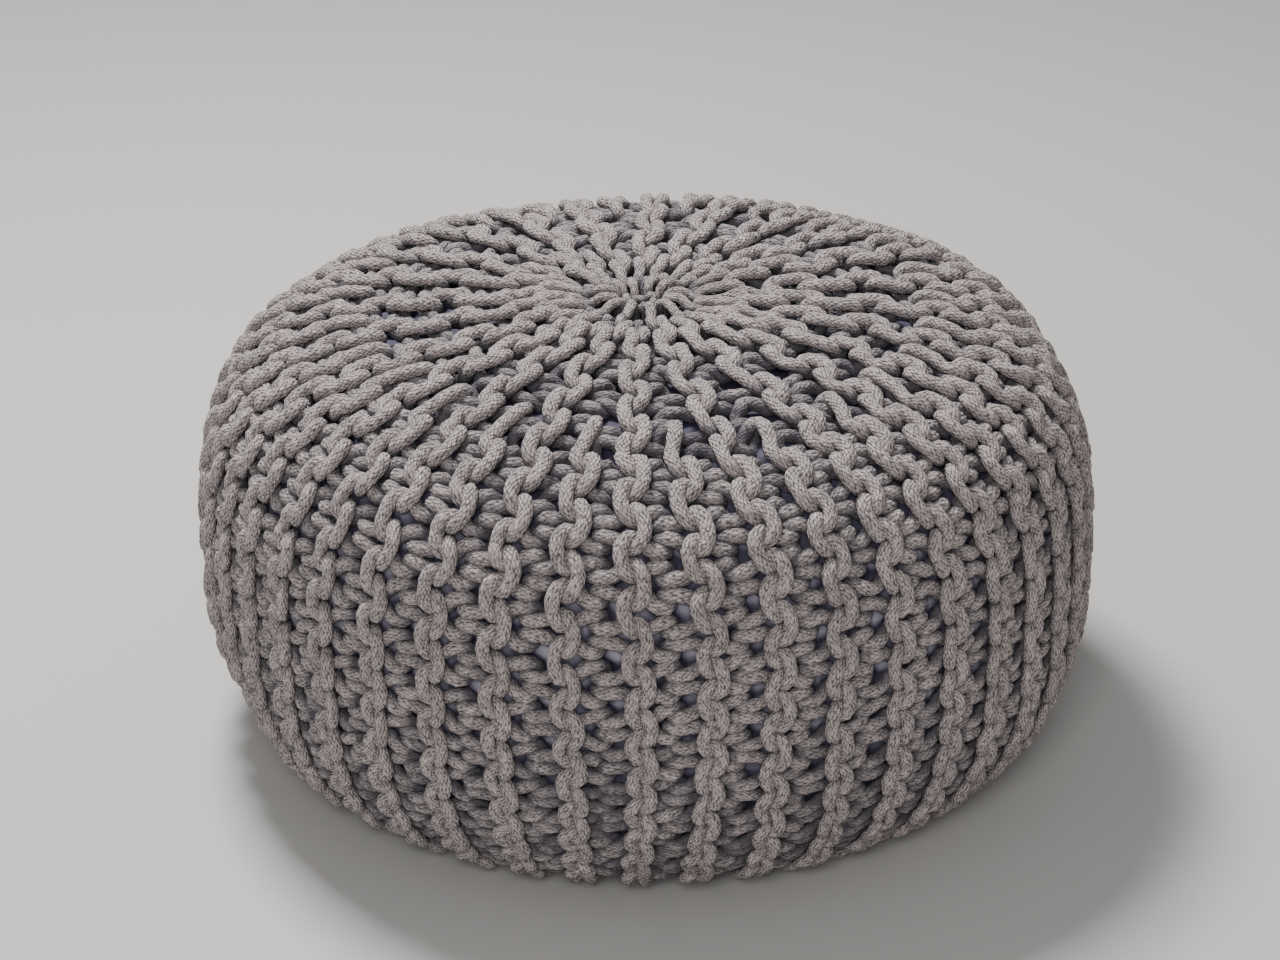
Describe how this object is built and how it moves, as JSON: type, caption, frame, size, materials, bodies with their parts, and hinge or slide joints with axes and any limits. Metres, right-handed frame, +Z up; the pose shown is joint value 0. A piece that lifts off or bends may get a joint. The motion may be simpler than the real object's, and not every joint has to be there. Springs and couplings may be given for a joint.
{
  "type": "knitted pouf",
  "caption": "Round knitted pouf: a garter-stitch cover of thick cotton cord, gathered shut at both ends over a filled cloth bag, with a flat foot.",
  "frame": {"origin": "on the floor, under the middle of the pouf's box", "axes": "+Z up through both gathered ends, -Y towards the front"},
  "size_m": [0.4988, 0.4988, 0.256],
  "materials": {
    "cotton_cord": "matt braided cotton cord, warm grey with fine lighter and darker flecks",
    "bag_cloth": "matt plain-weave cloth, grey with a violet cast"
  },
  "bodies": {
    "root": {"knit_cover": "cotton_cord", "gather_cord_top": "cotton_cord", "gather_cord_base": "cotton_cord", "inner_bag": "bag_cloth"}
  },
  "joints": []
}
